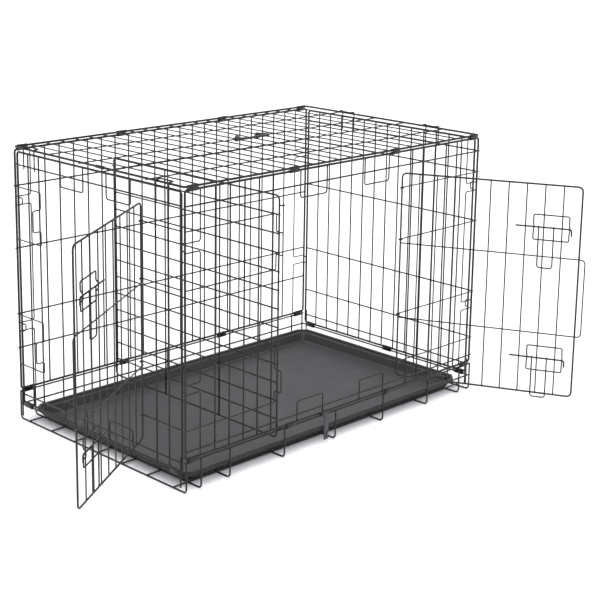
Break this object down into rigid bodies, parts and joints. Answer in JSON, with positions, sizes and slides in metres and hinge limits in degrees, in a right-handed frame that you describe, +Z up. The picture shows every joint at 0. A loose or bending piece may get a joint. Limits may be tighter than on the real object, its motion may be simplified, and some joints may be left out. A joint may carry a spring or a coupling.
{
  "type": "wire dog crate",
  "caption": "Folding wire crate for a dog, with a side door and an end door on hook hinges, slide bolts, a divider, a plastic tray and a carry handle.",
  "frame": {"origin": "on the floor, at the middle of the crate's footprint, with the doors left out", "axes": "+X along the crate from the end with the door to the plain end, +Y from the side with the door to the plain side, +Z up"},
  "size_m": [1.241, 0.9525, 0.6397],
  "materials": {
    "coated_wire": "black coating with a soft gloss over drawn steel wire",
    "clip_steel": "rolled steel sleeve under the same black coating",
    "tray_plastic": "thermoformed tray with a fine grain",
    "strap_plastic": "moulded, satin",
    "grip_plastic": "moulded, satin"
  },
  "bodies": {
    "root": {"back_side_panel": "coated_wire", "base_back_clip_1": "clip_steel", "base_back_clip_2": "clip_steel", "base_back_clip_3": "clip_steel", "base_back_clip_4": "clip_steel", "base_front_clip_1": "clip_steel", "base_front_clip_2": "clip_steel", "base_front_clip_3": "clip_steel", "base_front_clip_4": "clip_steel", "base_panel": "coated_wire", "divider_panel": "coated_wire", "front_side_panel": "coated_wire", "left_end_clip_1": "clip_steel", "left_end_clip_2": "clip_steel", "left_top_clip": "clip_steel", "right_end_clip_1": "clip_steel", "right_end_clip_2": "clip_steel", "right_end_clip_3": "clip_steel", "top_back_clip_1": "clip_steel", "top_back_clip_2": "clip_steel", "top_back_clip_3": "clip_steel", "top_back_clip_4": "clip_steel", "top_front_clip_1": "clip_steel", "top_front_clip_2": "clip_steel", "top_front_clip_3": "clip_steel", "top_front_clip_4": "clip_steel", "top_panel": "coated_wire"},
    "left_end": {"left_end_panel": "coated_wire", "left_top_hook_back": "coated_wire", "left_top_hook_front": "coated_wire"},
    "right_end": {"right_end_panel": "coated_wire", "right_top_hook_back": "coated_wire", "right_top_hook_front": "coated_wire"},
    "side_door": {"side_door": "coated_wire", "side_lower_bracket": "coated_wire", "side_upper_bracket": "coated_wire"},
    "end_door": {"end_door": "coated_wire", "end_lower_bracket": "coated_wire", "end_upper_bracket": "coated_wire"},
    "side_upper_bolt": {"side_upper_bolt": "coated_wire"},
    "side_lower_bolt": {"side_lower_bolt": "coated_wire"},
    "end_upper_bolt": {"end_upper_bolt": "coated_wire"},
    "end_lower_bolt": {"end_lower_bolt": "coated_wire"},
    "tray": {"tray": "tray_plastic"},
    "tray_stop": {"tray_stop": "strap_plastic"},
    "carry_handle": {"carry_handle": "grip_plastic"}
  },
  "joints": [
    {"name": "side_door_hinge", "type": "hinge", "parent": "root", "child": "side_door", "pos_m": [0.17804, -0.2908, 0.341], "axis": [0, 0, -1], "range_deg": [-40, 116]},
    {"name": "end_door_hinge", "type": "hinge", "parent": "left_end", "child": "end_door", "pos_m": [-0.4608, -0.15714, 0.333], "axis": [0, 0, -1], "range_deg": [-40, 122]},
    {"name": "side_upper_bolt_slide", "type": "slide", "parent": "side_door", "child": "side_upper_bolt", "axis": [0.4384, -0.8988, 0], "range_m": [0, 0.028]},
    {"name": "side_lower_bolt_slide", "type": "slide", "parent": "side_door", "child": "side_lower_bolt", "axis": [0.4384, -0.8988, 0], "range_m": [0, 0.028]},
    {"name": "end_upper_bolt_slide", "type": "slide", "parent": "end_door", "child": "end_upper_bolt", "axis": [-0.848, -0.5299, 0], "range_m": [0, 0.028]},
    {"name": "end_lower_bolt_slide", "type": "slide", "parent": "end_door", "child": "end_lower_bolt", "axis": [-0.848, -0.5299, 0], "range_m": [0, 0.028]},
    {"name": "left_end_fold", "type": "hinge", "parent": "root", "child": "left_end", "pos_m": [-0.455, 0, 0.0435], "axis": [0, 1, 0], "range_deg": [0, 16], "deforming": ["left_top_hook_front", "left_top_hook_back"]},
    {"name": "right_end_fold", "type": "hinge", "parent": "root", "child": "right_end", "pos_m": [0.455, 0, 0.0435], "axis": [0, -1, 0], "range_deg": [0, 88], "deforming": ["right_top_hook_front", "right_top_hook_back"]},
    {"name": "tray_slide", "type": "slide", "parent": "root", "child": "tray", "axis": [-1, 0, 0], "range_m": [0, 0.8]},
    {"name": "tray_stop_swing", "type": "hinge", "parent": "root", "child": "tray_stop", "pos_m": [-0.05, -0.285, 0.0725], "axis": [-1, 0, 0], "range_deg": [0, 50]},
    {"name": "handle_lift", "type": "hinge", "parent": "root", "child": "carry_handle", "pos_m": [0.0198, 0.048, 0.6298], "axis": [-1, 0, 0], "range_deg": [0, 80]}
  ]
}
